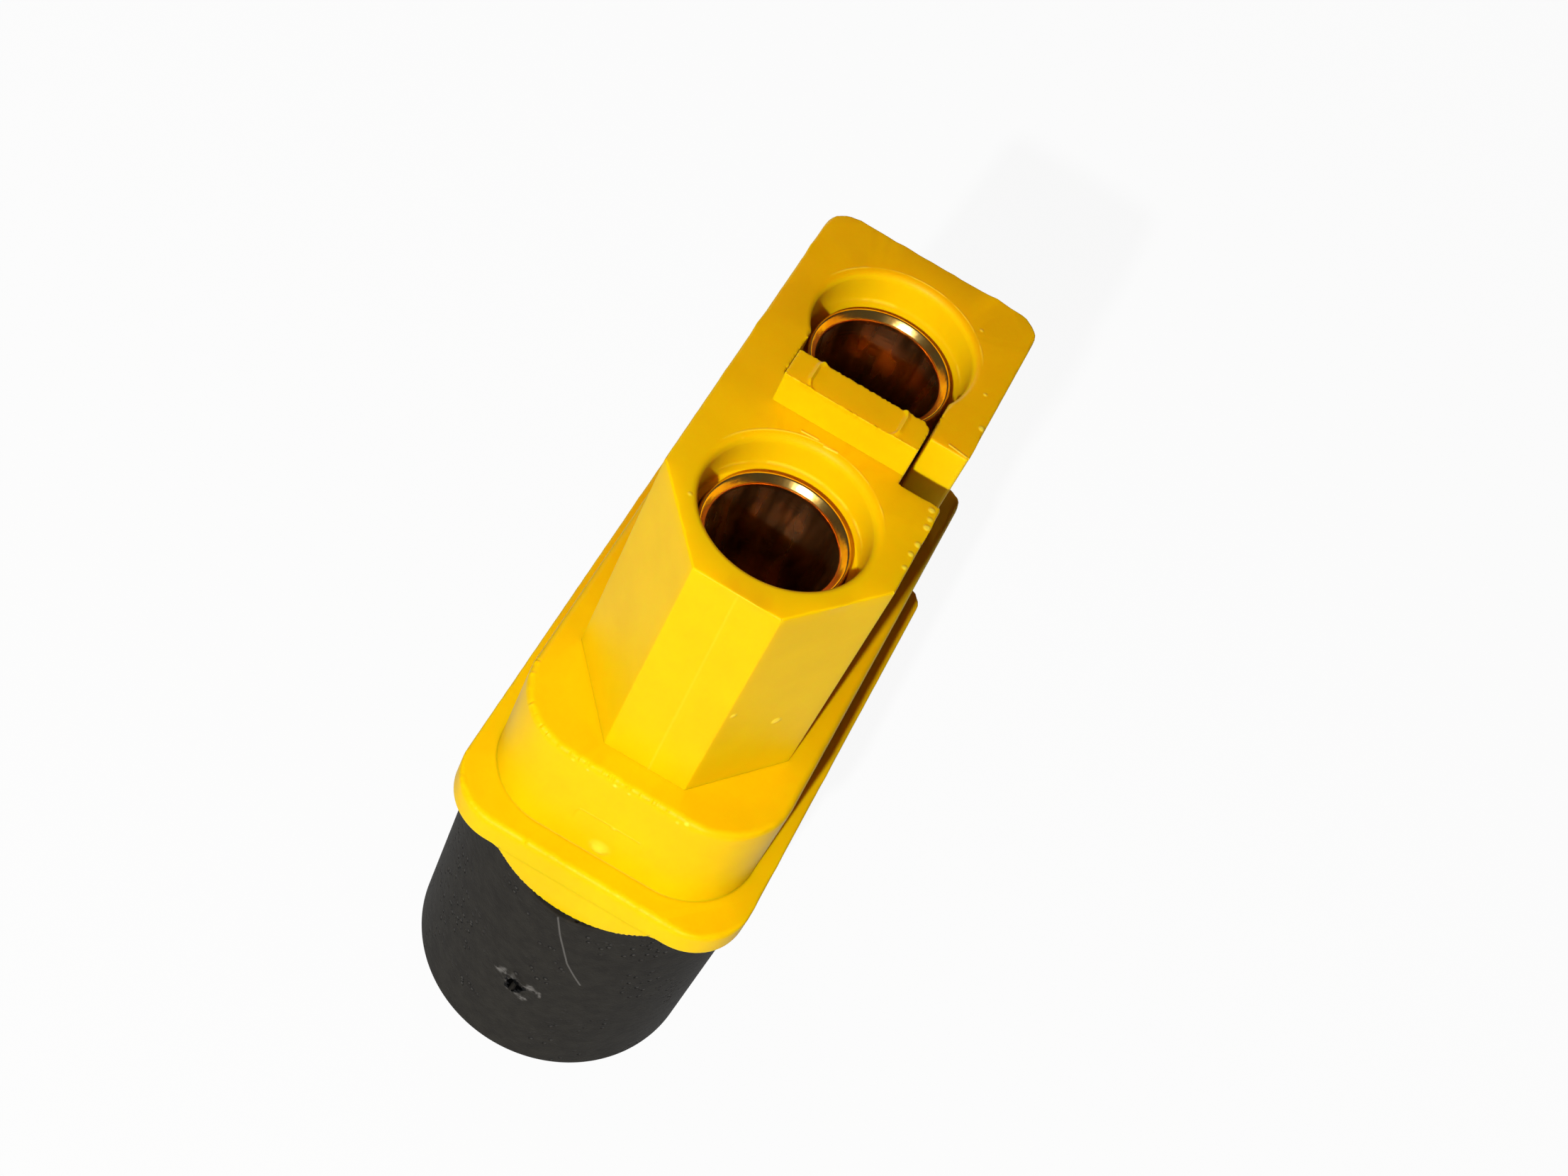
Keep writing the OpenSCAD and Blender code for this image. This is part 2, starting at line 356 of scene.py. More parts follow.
def lid(loops, z, step=None):
    """Level surface at height z between an outer loop and the holes inside it.

    The loops are joined by triangles, of which those inside the outline stay. With a step, a
    square lattice of points is added inside, so that the surface can be displaced later.
    """
    points = np.concatenate(loops)
    starts = np.cumsum([0] + [len(loop) for loop in loops])
    after = np.concatenate([np.roll(np.arange(a, b), -1) for a, b in zip(starts, starts[1:])])
    edges = list(enumerate(after.tolist()))
    given = points
    if step:
        (x0, y0), (x1, y1) = points.min(0), points.max(0)
        x, y = np.meshgrid(np.arange(x0, x1, step), np.arange(y0, y1, step))
        lattice = np.stack([x.ravel(), y.ravel()], 1)
        kept = inside_loops(lattice[:, 0], lattice[:, 1], points, after)
        lattice = lattice[kept]
        gap = np.hypot(*(lattice[:, None] - points[None]).transpose(2, 0, 1)).min(1)
        given = np.concatenate([points, lattice[gap > 0.6 * step]])
    made = delaunay_2d_cdt([Vector(p) for p in given.tolist()], edges, [], 1, 1e-6)
    flat = np.array([tuple(p) for p in made[0]])
    triangles = np.array(made[2])
    middle = flat[triangles].mean(1)
    kept = inside_loops(middle[:, 0], middle[:, 1], points, after)
    vertices = np.concatenate([flat, np.full((len(flat), 1), z)], 1)
    return vertices, triangles[kept]


ring_lid = lid([circle(0, 0, collar_r)[0], circle(0, 0, tube_r)[0]], 0.0)
print("a ring-shaped lid has", len(ring_lid[1]), "triangles")

# %% [markdown]
# ## From arrays to a mesh
#
# The patches of a piece are joined into one mesh, their shared edge points are merged, and the
# faces are turned outward. Edges sharper than a set angle stay crisp, and a weighted-normal
# modifier keeps the flat faces flat right up to their rounded edges.


# %% Build a piece
def edge_use(mesh):
    """How many faces meet at each edge of a mesh."""
    edge_index = np.empty(len(mesh.loops), int)
    mesh.loops.foreach_get("edge_index", edge_index)
    return np.bincount(edge_index, minlength=len(mesh.edges))


def build(name, patches, material, angle=32, merge=0.0005):
    """One mesh piece from patches (vertices in mm, faces), at the origin, riding on the frame."""
    vertices, faces, start = [], [], 0
    for patch_vertices, patch_faces in patches:
        vertices.append(patch_vertices)
        faces.extend((patch_faces + start).tolist())
        start += len(patch_vertices)
    mesh = bpy.data.meshes.new(name)
    mesh.from_pydata((np.concatenate(vertices) * MM).tolist(), [], faces)
    shape = bmesh.new()
    shape.from_mesh(mesh)
    bmesh.ops.remove_doubles(shape, verts=shape.verts, dist=merge * MM)
    bmesh.ops.recalc_face_normals(shape, faces=shape.faces)
    shape.to_mesh(mesh)
    shape.free()
    mesh.shade_smooth()
    mesh.set_sharp_from_angle(angle=math.radians(angle))
    mesh.materials.append(material)
    piece = bpy.data.objects.new(name, mesh)
    bpy.context.scene.collection.objects.link(piece)
    weighted = piece.modifiers.new("flat faces stay flat", "WEIGHTED_NORMAL")
    weighted.keep_sharp = True
    weighted.weight = 60
    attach(piece, "root")
    open_edges = int((edge_use(mesh) == 1).sum())
    print(name, len(mesh.polygons), "faces,", open_edges, "open edges")
    return piece


# %% [markdown]
# ## Placing nodes
#
# A material is a tree of nodes. It could be wired by hand in the editor; here a few short helpers
# place a node, set its inputs or link them, and hand back its output for the next step.


# %% Node helpers
def new_group(name, inputs, outputs):
    """Empty shader node group with named float or vector inputs and outputs."""
    group = bpy.data.node_groups.new(name, "ShaderNodeTree")
    for label, kind, default in inputs:
        socket = group.interface.new_socket(label, in_out="INPUT", socket_type=kind)
        socket.default_value = default
    for label, kind in outputs:
        group.interface.new_socket(label, in_out="OUTPUT", socket_type=kind)
    return group, group.nodes.new("NodeGroupInput"), group.nodes.new("NodeGroupOutput")


def node(tree, kind, links=(), **settings):
    """New node with its settings, and its inputs linked or set by index or name."""
    made = tree.nodes.new(kind)
    for key, value in settings.items():
        setattr(made, key, value)
    for key, value in dict(links).items():
        if isinstance(value, bpy.types.NodeSocket):
            tree.links.new(value, made.inputs[key])
        else:
            made.inputs[key].default_value = value
    return made


def math_node(tree, operation, *values, clamp=False):
    """Output of a Math node on values or sockets."""
    return node(tree, "ShaderNodeMath", dict(enumerate(values)), operation=operation,
                use_clamp=clamp).outputs[0]


def ramp(tree, value, low, high, out_low=0.0, out_high=1.0):
    """Smooth step from out_low to out_high as the value goes from low to high."""
    return node(tree, "ShaderNodeMapRange",
                {0: value, 1: low, 2: high, 3: out_low, 4: out_high},
                interpolation_type="SMOOTHSTEP").outputs[0]


def vector_node(tree, operation, first, second, output=0):
    """Output of a Vector Math node on two vectors."""
    return node(tree, "ShaderNodeVectorMath", {0: first, 1: second},
                operation=operation).outputs[output]


def mix_colour(tree, share, first, second, blend="MIX"):
    """First colour where the share is 0 and second where it is 1, or another way of blending."""
    return node(tree, "ShaderNodeMix", {0: share, 6: first, 7: second}, data_type="RGBA",
                blend_type=blend).outputs[2]


print("helpers:", [helper.__name__ for helper in (node, math_node, ramp, vector_node, mix_colour)])

# %% [markdown]
# ## Shared shader groups
#
# Four effects return in the finishes: the fine grain of a moulded surface, a small round mark at
# a given place, a scratch between two places, and a thin ring. Each is a node group with named
# inputs, so that every material sets its own size and strength.


# %% Grain group
def make_grain_group():
    """Grain height: one soft noise and one fine noise, weighed together."""
    group, given, result = new_group(
        "moulding_grain",
        [("Vector", "NodeSocketVector", (0, 0, 0)), ("Size", "NodeSocketFloat", 0.3),
         ("Fineness", "NodeSocketFloat", 6.0)],
        [("Height", "NodeSocketFloat")])
    scale = math_node(group, "DIVIDE", 1000.0, given.outputs["Size"])
    fine_scale = math_node(group, "MULTIPLY", scale, given.outputs["Fineness"])
    soft = node(group, "ShaderNodeTexNoise", {"Vector": given.outputs["Vector"], "Scale": scale,
                                              "Detail": 2.0, "Roughness": 0.55})
    fine = node(group, "ShaderNodeTexNoise", {"Vector": given.outputs["Vector"],
                                              "Scale": fine_scale, "Detail": 2.0,
                                              "Roughness": 0.6})
    soft_part = math_node(group, "MULTIPLY", soft.outputs[0], 0.65)
    height = math_node(group, "MULTIPLY_ADD", fine.outputs[0], 0.35, soft_part)
    group.links.new(height, result.inputs["Height"])
    return group


grain_group = make_grain_group()
print("made", grain_group.name)


# %% Groups for marks
def make_spot_group():
    """Mask of a round mark: 1 inside the radius, falling smoothly to 0 over the soft band."""
    group, given, result = new_group(
        "round_mark",
        [("Vector", "NodeSocketVector", (0, 0, 0)), ("Centre", "NodeSocketVector", (0, 0, 0)),
         ("Radius", "NodeSocketFloat", 0.001), ("Soft", "NodeSocketFloat", 0.0002)],
        [("Mask", "NodeSocketFloat")])
    away = vector_node(group, "DISTANCE", given.outputs["Vector"], given.outputs["Centre"],
                       "Value")
    inner = math_node(group, "SUBTRACT", given.outputs["Radius"], given.outputs["Soft"])
    outer = math_node(group, "ADD", given.outputs["Radius"], given.outputs["Soft"])
    group.links.new(ramp(group, away, inner, outer, 1.0, 0.0), result.inputs["Mask"])
    return group


def make_scratch_group():
    """Mask of a straight scratch from A to B.

    The nearest place on the line is A + t (B - A), where t is the projection of the point on the
    line, kept between 0 and 1; the mask falls to 0 at the given width from it.
    """
    group, given, result = new_group(
        "scratch_mark",
        [("Vector", "NodeSocketVector", (0, 0, 0)), ("A", "NodeSocketVector", (0, 0, 0)),
         ("B", "NodeSocketVector", (0, 0, 0)), ("Width", "NodeSocketFloat", 0.0001)],
        [("Mask", "NodeSocketFloat")])
    line = vector_node(group, "SUBTRACT", given.outputs["B"], given.outputs["A"])
    reach = vector_node(group, "SUBTRACT", given.outputs["Vector"], given.outputs["A"])
    along = vector_node(group, "DOT_PRODUCT", reach, line, "Value")
    square = vector_node(group, "DOT_PRODUCT", line, line, "Value")
    t = math_node(group, "DIVIDE", along, square, clamp=True)
    nearest = node(group, "ShaderNodeVectorMath", {0: line, "Scale": t},
                   operation="SCALE").outputs[0]
    away = vector_node(group, "DISTANCE", reach, nearest, "Value")
    mask = ramp(group, away, 0.0, given.outputs["Width"], 1.0, 0.0)
    group.links.new(mask, result.inputs["Mask"])
    return group


def make_ring_group():
    """Mask of a thin circle that lies level: 1 on it, falling to 0 at the given width."""
    group, given, result = new_group(
        "ring_mark",
        [("Vector", "NodeSocketVector", (0, 0, 0)), ("Centre", "NodeSocketVector", (0, 0, 0)),
         ("Radius", "NodeSocketFloat", 0.004), ("Width", "NodeSocketFloat", 0.0001)],
        [("Mask", "NodeSocketFloat")])
    away = vector_node(group, "DISTANCE", given.outputs["Vector"], given.outputs["Centre"],
                       "Value")
    off = math_node(group, "ABSOLUTE",
                    math_node(group, "SUBTRACT", away, given.outputs["Radius"]))
    mask = ramp(group, off, 0.0, given.outputs["Width"], 1.0, 0.0)
    group.links.new(mask, result.inputs["Mask"])
    return group


spot_group = make_spot_group()
scratch_group = make_scratch_group()
ring_group = make_ring_group()
print("groups:", [group.name for group in bpy.data.node_groups])

# %% [markdown]
# ## Setting up a material
#
# Every finish starts the same way: a Principled shader with its plain values, and the object's
# own coordinates, so that a pattern stays on the piece wherever the camera goes. Colours are
# written as they are seen, from 0 to 255, and turned into the linear values that light needs.


# %% Material helpers
def srgb(r, g, b):
    """Linear colour with alpha from the 0 to 255 values of a colour as it is seen."""
    c = np.array([r, g, b]) / 255
    linear = np.where(c <= 0.04045, c / 12.92, ((c + 0.055) / 1.055) ** 2.4)
    return (*linear.tolist(), 1.0)


def new_material(name, **settings):
    """Material with a Principled shader whose plain settings are given by input name."""
    material = bpy.data.materials.new(name)
    material.use_nodes = True
    tree = material.node_tree
    shader = tree.nodes["Principled BSDF"]
    for key, value in settings.items():
        shader.inputs[key.replace("_", " ")].default_value = value
    place = node(tree, "ShaderNodeTexCoord").outputs["Object"]
    return material, tree, shader, place


def group_node(tree, group, **inputs):
    """The first output of a node group placed in a material, with its inputs set or linked."""
    placed = tree.nodes.new("ShaderNodeGroup")
    placed.node_tree = group
    for key, value in inputs.items():
        if isinstance(value, bpy.types.NodeSocket):
            tree.links.new(value, placed.inputs[key])
        else:
            placed.inputs[key].default_value = value
    return placed.outputs[0]


def bump(tree, height, distance, normal=None, strength=1.0):
    """Normal of a Bump node on a height mask of 0 to 1, at a real distance in millimetres."""
    links = {"Height": height, "Distance": distance * MM, "Strength": strength}
    if normal is not None:
        links["Normal"] = normal
    return node(tree, "ShaderNodeBump", links).outputs[0]


def noise(tree, place, scale, detail):
    """Value of a Noise texture at a place."""
    return node(tree, "ShaderNodeTexNoise", {"Vector": place, "Scale": scale,
                                             "Detail": detail}).outputs[0]


def strongest(tree, masks):
    """Largest of several masks."""
    result = masks[0]
    for mask in masks[1:]:
        result = math_node(tree, "MAXIMUM", result, mask)
    return result


def mm_point(x, y, z):
    """A place given in millimetres, as a vector in metres."""
    return (x * MM, y * MM, z * MM)


print("mid grey in linear light:", round(srgb(128, 128, 128)[0], 3))

# %% [markdown]
# ## Marks on the yellow moulding
#
# A handled moulding carries a few pale specks and short scratches on its mating face, small burrs
# along its rounded edges, whose pale dots are painted highlights, and a parting line down the nose.
# A thin pale ring on the far side of each well's lip is a painted highlight. Each could be cut into
# the mesh, but they are far thinner than a face of it, so they are masks.

# %% Marks and painted highlights on the yellow moulding
FACE_SPECKS = [(-2.93, -3.37, 0.1), (0.09, -2.03, 0.1), (4.74, -1.67, 0.12), (4.86, -2.15, 0.1),
               (4.9, -2.6, 0.13), (4.92, -3.6, 0.12), (4.86, -4.2, 0.1), (4.9, -4.95, 0.09),
               (4.9, 3.6, 0.12), (4.35, 5.4, 0.06), (2.9, 8.6, 0.06), (-3.5, -7.2, 0.07)]
FACE_SCRATCHES = [((-1.2, -1.52), (-0.5, -1.48)), ((-0.15, -1.6), (0.4, -1.56)),
                  ((4.1, 1.9), (4.9, 1.78))]
WALL_SPECKS = [(3.68, -8.0, 27.25, 0.2), (2.1, -9.95, 28.75, 0.13)]
# Pale dots on the edge burrs: painted highlights.
EDGE_BURR_HIGHLIGHTS = [(-1.3, -12.68, 17.2, 0.07), (-0.35, -12.68, 17.2, 0.08), (0.1, -12.68, 17.2, 0.06),
             (1.25, -12.68, 17.2, 0.06), (1.75, -12.68, 17.2, 0.1), (2.2, -12.68, 17.2, 0.08),
             (-2.6, -11.5, 22.7, 0.06), (-1.9, -11.55, 22.62, 0.05), (-0.6, -11.55, 22.6, 0.08),
             (0.05, -11.55, 22.62, 0.05), (2.35, -11.5, 22.6, 0.07), (2.7, -11.5, 22.8, 0.09),
             (0.2, -11.55, 19.75, 0.09)]
NUB_MARK = (0.02, -11.6, 17.95)


def yellow_marks_and_highlights(tree, place):
    """Mask of specks, scratches and burrs, with painted highlights on burrs and well lips."""
    masks = [group_node(tree, spot_group, Vector=place, Centre=mm_point(x, y, face_z),
                        Radius=radius * MM, Soft=0.07 * MM) for x, y, radius in FACE_SPECKS]
    masks += [group_node(tree, spot_group, Vector=place, Centre=mm_point(x, y, z),
                         Radius=radius * MM, Soft=0.07 * MM)
              for x, y, z, radius in WALL_SPECKS + EDGE_BURR_HIGHLIGHTS]
    nub = group_node(tree, spot_group, Vector=place, Centre=mm_point(*NUB_MARK),
                     Radius=0.36 * MM, Soft=0.3 * MM)
    masks.append(math_node(tree, "MULTIPLY", nub, 0.6))
    masks += [group_node(tree, scratch_group, Vector=place, A=mm_point(*a, face_z),
                         B=mm_point(*b, face_z), Width=0.09 * MM) for a, b in FACE_SCRATCHES]
    # Painted highlight: a pale ring on the lit far side of each well's lip.
    share = ramp(tree, noise(tree, place, 800.0, 2.0), 0.45, 0.6, 0.1, 0.55)
    y_place = node(tree, "ShaderNodeSeparateXYZ", {0: place}).outputs["Y"]
    for y in (-contact_y, contact_y):
        ring = group_node(tree, ring_group, Vector=place, Centre=mm_point(0, y, face_z),
                          Radius=(well_r + well_round - 0.06) * MM, Width=0.07 * MM)
        lit_far_side = ramp(tree, y_place, (y + 1.0) * MM, (y + 2.5) * MM)
        strength = math_node(tree, "MULTIPLY", share, lit_far_side)
        masks.append(math_node(tree, "MULTIPLY", ring, strength))
    parting = group_node(tree, scratch_group, Vector=place, A=mm_point(0.05, nose_near, face_z),
                         B=mm_point(0.2, nose_near, nose_z), Width=0.09 * MM)
    masks.append(math_node(tree, "MULTIPLY", parting, 0.15))
    gate_line = group_node(tree, scratch_group, Vector=place, Width=0.1 * MM,
                           A=mm_point(-1.4, shoulder_near, 19.85),
                           B=mm_point(1.4, shoulder_near, 19.85))
    masks.append(math_node(tree, "MULTIPLY", gate_line, 0.3))
    return strongest(tree, masks)


print("specks and pips:", len(FACE_SPECKS + WALL_SPECKS + EDGE_BURR_HIGHLIGHTS))

# %% [markdown]
# ## Yellow nylon
#
# The housing is a warm golden yellow with a satin skin. Its up-facing surfaces carry painted light:
# paler toward the near end and deeper toward the far end, and tinted unlike the walls. The colour
# also wanders very slightly and the grain is shallow. Light goes a little way into the plastic,
# which softens its shadows; that is the Principled shader's subsurface, with a long reach for red
# and a short one for blue.


# %% Yellow nylon
def make_yellow():
    """Satin golden nylon, with painted light: tops painted paler near, deeper far.

    The painted shade is a mix between two tints by how far along Y, and a little along X, a place
    lies, used only where the surface looks up; every other wall keeps the middle tint, so tops and
    walls are painted as differently lit.
    """
    material, tree, shader, place = new_material(
        "yellow_nylon", Roughness=0.45, IOR=1.5, Specular_IOR_Level=0.06, Subsurface_Weight=0.4,
        Subsurface_Scale=0.0011)
    shader.inputs["Subsurface Radius"].default_value = (1.0, 0.3, 0.03)
    split = node(tree, "ShaderNodeSeparateXYZ", {0: place})
    along = ramp(tree, split.outputs["Y"], nose_near * MM, contact_y * MM)
    across = node(tree, "ShaderNodeMapRange", {0: split.outputs["X"], 1: 0.0,
                                               2: nose_half * MM, 3: 0.0, 4: 0.15}).outputs[0]
    painted_shade_share = math_node(tree, "ADD", along, across, clamp=True)
    upward = node(tree, "ShaderNodeSeparateXYZ",
                  {0: node(tree, "ShaderNodeTexCoord").outputs["Normal"]}).outputs["Z"]
    level = ramp(tree, upward, 0.5, 0.95)
    # Painted light: tops paler toward the near end and deeper toward the far end, walls a middle
    # tint.
    flat = mix_colour(tree, painted_shade_share, srgb(244, 193, 2), srgb(222, 161, 0))
    plain = mix_colour(tree, level, srgb(222, 178, 2), flat)
    tint = ramp(tree, noise(tree, place, 260.0, 3.0), 0.35, 0.65, 0.0, 0.35)
    base = mix_colour(tree, tint, plain, (0.85, 0.8, 1.0, 1.0), "MULTIPLY")
    height = group_node(tree, grain_group, Vector=place, Size=0.35, Fineness=5.0)
    normal = bump(tree, height, 0.006)
    marks = yellow_marks_and_highlights(tree, place)
    normal = bump(tree, marks, 0.03, normal)
    # Pale colour of the marks, including the painted highlights on the burrs and well lips.
    pale = mix_colour(tree, math_node(tree, "MULTIPLY", marks, 0.6), base, srgb(255, 226, 70))
    tree.links.new(pale, shader.inputs["Base Color"])
    tree.links.new(normal, shader.inputs["Normal"])
    return material


yellow = make_yellow()
print(yellow.name, len(yellow.node_tree.nodes), "nodes")

# %% [markdown]
# ## Black cap plastic
#
# The cap is a dull charcoal. Its grain is coarser than the housing's and pitted toward one side,
# a thin curved scratch runs down from the tongue, and the plastic round a small torn hole is
# paler. The hole itself is shaped in the cap's mesh; here it gets its colours, and its inside is
# painted near black as painted shade.

# %% Charcoal plastic
CAP_SCRATCH = [(-0.04, -12.97, 13.61), (0.41, -12.93, 12.33), (0.84, -12.88, 11.32),
               (1.28, -12.79, 10.24), (1.84, -12.65, 9.32), (2.25, -12.51, 8.67)]
ROUGH_PATCH = (-5.6, -9.4, 7.2)
SCAR = (-0.38, 6.1)
TORN_FLAKES = [(-0.8, 0.55, -0.05, 0.5, 0.5), (-0.5, 0.1, -0.2, 0.45, 0.4),
               (0.35, 0.55, 1.25, 0.45, 0.3), (0.1, -0.5, 0.6, -0.62, 0.3)]


def make_charcoal():
    """Matte charcoal: grain, pits, torn plastic, a scratch; the hole painted black as shade."""
    material, tree, shader, place = new_material("charcoal_plastic", Roughness=0.6, IOR=1.35,
                                                 Specular_IOR_Level=0.06)
    grain = group_node(tree, grain_group, Vector=place, Size=0.4, Fineness=4.0)
    normal = bump(tree, grain, 0.035)
    cells = node(tree, "ShaderNodeTexVoronoi", {"Vector": place, "Scale": 2300.0,
                                                "Randomness": 1.0}, feature="F1")
    pits = ramp(tree, cells.outputs["Distance"], 0.12, 0.36, 1.0, 0.0)
    colours = node(tree, "ShaderNodeTexNoise", {"Vector": place, "Scale": 2200.0, "Detail": 2.0})
    pushed = vector_node(tree, "SUBTRACT", colours.outputs["Color"], (0.5, 0.5, 0.5))
    ragged = node(tree, "ShaderNodeVectorMath", {0: pushed, 1: (0.001, 0.001, 0.001), 2: place},
                  operation="MULTIPLY_ADD").outputs[0]
    patch = group_node(tree, spot_group, Vector=place, Centre=mm_point(*ROUGH_PATCH),
                       Radius=0.0022, Soft=0.0016)
    wanted = math_node(tree, "MULTIPLY_ADD", patch, 0.22, noise(tree, place, 420.0, 1.0))
    pits = math_node(tree, "MULTIPLY", pits, ramp(tree, wanted, 0.51, 0.65))
    normal = bump(tree, math_node(tree, "SUBTRACT", 1.0, pits), 0.2, normal)
    lines = [group_node(tree, scratch_group, Vector=place, A=mm_point(*a), B=mm_point(*b),
                        Width=0.075 * MM) for a, b in zip(CAP_SCRATCH, CAP_SCRATCH[1:])]
    scratch = strongest(tree, lines)
    torn = [group_node(tree, scratch_group, Vector=ragged, Width=width * MM,
                       A=mm_point(SCAR[0] + ax, -12.85, SCAR[1] + az),
                       B=mm_point(SCAR[0] + bx, -12.85, SCAR[1] + bz))
            for ax, az, bx, bz, width in TORN_FLAKES]
    torn = math_node(tree, "MULTIPLY", strongest(tree, torn),
                     ramp(tree, noise(tree, place, 3000.0, 3.0), 0.38, 0.6))
    hole = group_node(tree, spot_group, Vector=ragged, Radius=0.52 * MM, Soft=0.06 * MM,
                      Centre=mm_point(SCAR[0], -12.75, SCAR[1]))
    clouds = ramp(tree, noise(tree, place, 1500.0, 4.0), 0.3, 0.7)
    base = mix_colour(tree, clouds, srgb(33, 31, 28), srgb(39, 37, 33))
    light = strongest(tree, [math_node(tree, "MULTIPLY", scratch, 0.6),
                             math_node(tree, "MULTIPLY", torn, 0.8),
                             math_node(tree, "MULTIPLY", pits, 0.22)])
    pale = mix_colour(tree, light, base, srgb(104, 101, 97))
    # Painted shade: the inside of the torn hole is painted near black.
    painted_shade_hole = mix_colour(tree, hole, pale, srgb(3, 3, 3))
    tree.links.new(painted_shade_hole, shader.inputs["Base Color"])
    tree.links.new(normal, shader.inputs["Normal"])
    return material


charcoal = make_charcoal()
print(charcoal.name, len(charcoal.node_tree.nodes), "nodes")

# %% [markdown]
# ## Gold plating
#
# The contacts are turned on a lathe and plated. The tool leaves very fine rings, which stay
# visible under the gold and stretch each highlight round the mouth. A mating pin wears the bore
# lengthwise, so its roughness follows noise that is drawn out along the axis.


# %% Gold plating
def make_gold():
    """Plated metal: bright mouth; bore dull, streaked, tarnished, painted paler to lift shade."""
    material, tree, shader, place = new_material("gold_plating", Metallic=1.0, Roughness=0.2)
    height = node(tree, "ShaderNodeSeparateXYZ", {0: place}).outputs["Z"]
    level = node(tree, "ShaderNodeCombineXYZ", {"Z": height}).outputs[0]
    normal = bump(tree, noise(tree, level, 9000.0, 2.0), 0.006)
    drawn = vector_node(tree, "MULTIPLY", place, (1.0, 1.0, 0.12))
    streaks = noise(tree, drawn, 1300.0, 2.0)
    clouds = noise(tree, place, 900.0, 3.0)
    inside = ramp(tree, height, (rim_z - 0.6) * MM, (rim_z - 0.35) * MM, 1.0, 0.0)
    bright = mix_colour(tree, ramp(tree, clouds, 0.4, 0.7), srgb(255, 214, 122),
                        srgb(240, 178, 84))
    # Down the bore the gold is painted paler, which lifts its shade; the streaks follow pin wear.
    bore_wear_and_painted_lift = mix_colour(tree, ramp(tree, streaks, 0.42, 0.66), srgb(255, 214, 146),
                      srgb(255, 200, 140))
    base = mix_colour(tree, inside, bright, bore_wear_and_painted_lift)
    normal = bump(tree, clouds, 0.025, normal)
    polish = node(tree, "ShaderNodeMapRange", {0: clouds, 3: 0.15, 4: 0.22}).outputs[0]
    worn = math_node(tree, "MULTIPLY", inside, ramp(tree, streaks, 0.4, 0.65, 0.0, 0.1))
    rough = math_node(tree, "ADD", polish, worn)
    tree.links.new(base, shader.inputs["Base Color"])
    tree.links.new(rough, shader.inputs["Roughness"])
    tree.links.new(normal, shader.inputs["Normal"])
    return material


gold = make_gold()
print(gold.name, len(gold.node_tree.nodes), "nodes")

# %% [markdown]
# ## The nose
#
# The nose carries the mating face. Its upper wall follows one outline that runs in through the
# side notch, along the rib, round the pocket and the far well, and out again. Cutting the pocket
# with a boolean would leave hard edges there; one outline lets the same profile round them all.


# %% Outline of the nose
def nose_corners(detail):
    """Corners of the plain nose outline, from the near end round past +X, counter-clockwise."""
    half, near, far = nose_half, nose_near, nose_far
    cut_x, cut_y = nose_cut
    return [
        (-half + cut_x, near, 0.14, detail), (half - cut_x, near, 0.14, detail),
        (half, near + cut_y, 0.14, detail), (half, far, 1.2, detail),
        (-half, far, 1.2, detail), (-half, near + cut_y, 0.14, detail)]


def keyed_outline(detail):
    """The nose outline led in through the notch and round the pocket and the far well.

    The well's arc runs from where the circle meets one pocket wall to where it meets the other:
    at a pocket wall x, its y is the well's centre minus the square root of r squared less x
    squared.
    """
    plain = nose_corners(detail)
    right, left = pocket_x[1], pocket_x[0]
    start = math.atan2(-math.sqrt(well_r ** 2 - right ** 2), right)
    stop = math.atan2(-math.sqrt(well_r ** 2 - left ** 2), left)
    sweep = np.linspace(start, stop + 2 * math.pi, 90)
    arc = [(well_r * math.cos(a), contact_y + well_r * math.sin(a), 0, 9) for a in sweep]
    arc[0] = (*arc[0][:3], 0.08)
    inner = rib_x[1]
    keyway = [
        (nose_half, notch_y[0], 0.16, detail), (inner, notch_y[0], 0.12, detail),
        (inner, rib_y[1], 0.16, detail), (left, rib_y[1], 0.12, 0.08), *arc[::-1],
        (right, notch_y[1], 0.16, detail), (nose_half, notch_y[1], 0.16, detail)]
    return outline(plain[:3] + keyway + plain[3:])


def soften(points, low, high):
    """1 where a point is farther than high from the far well's circle, 0 nearer than low."""
    away = np.abs(np.hypot(points[:, 0], points[:, 1] - contact_y) - well_r)
    t = np.clip((away - low) / (high - low), 0, 1)
    return t * t * (3 - 2 * t)


print("the keyed outline has", len(keyed_outline(0.35)[0]), "points")

# %% [markdown]
# ## The near well and the nose's shell
#
# The near well is a hole of its own: a rounded lip, a short wall, a floor ring and the contact's
# hole below it. With the keyed walls above, the plain walls below and the floor of the keyway
# between them, the nose closes into one shell, so no seam can show where its halves would meet.


# %% The nose's shell
def well_patches(y):
    """Near well: rounded lead-in, wall, floor ring and the contact's hole below it."""
    points, directions = circle(0, y, well_r, 120, inward=True)
    top = well_round * (0.85 + 0.15 * (points[:, 1] - y) / well_r)
    offsets, heights = wall_profile(len(points), well_floor, face_z, top=top,
                                    foot=0.12, step=0.5)
    wall = skin(points, directions, offsets, heights)
    level = np.zeros((2, len(points)))
    ring = level + np.array([[0.12], [well_r - hole_r]])
    floor = skin(points, directions, ring, level + well_floor)
    hole = skin(points, directions, level + well_r - hole_r,
                level + np.array([[nose_z], [well_floor]]))
    return [wall, floor, hole], edge_loop(wall, len(points), -1), edge_loop(hole, len(points), 0)


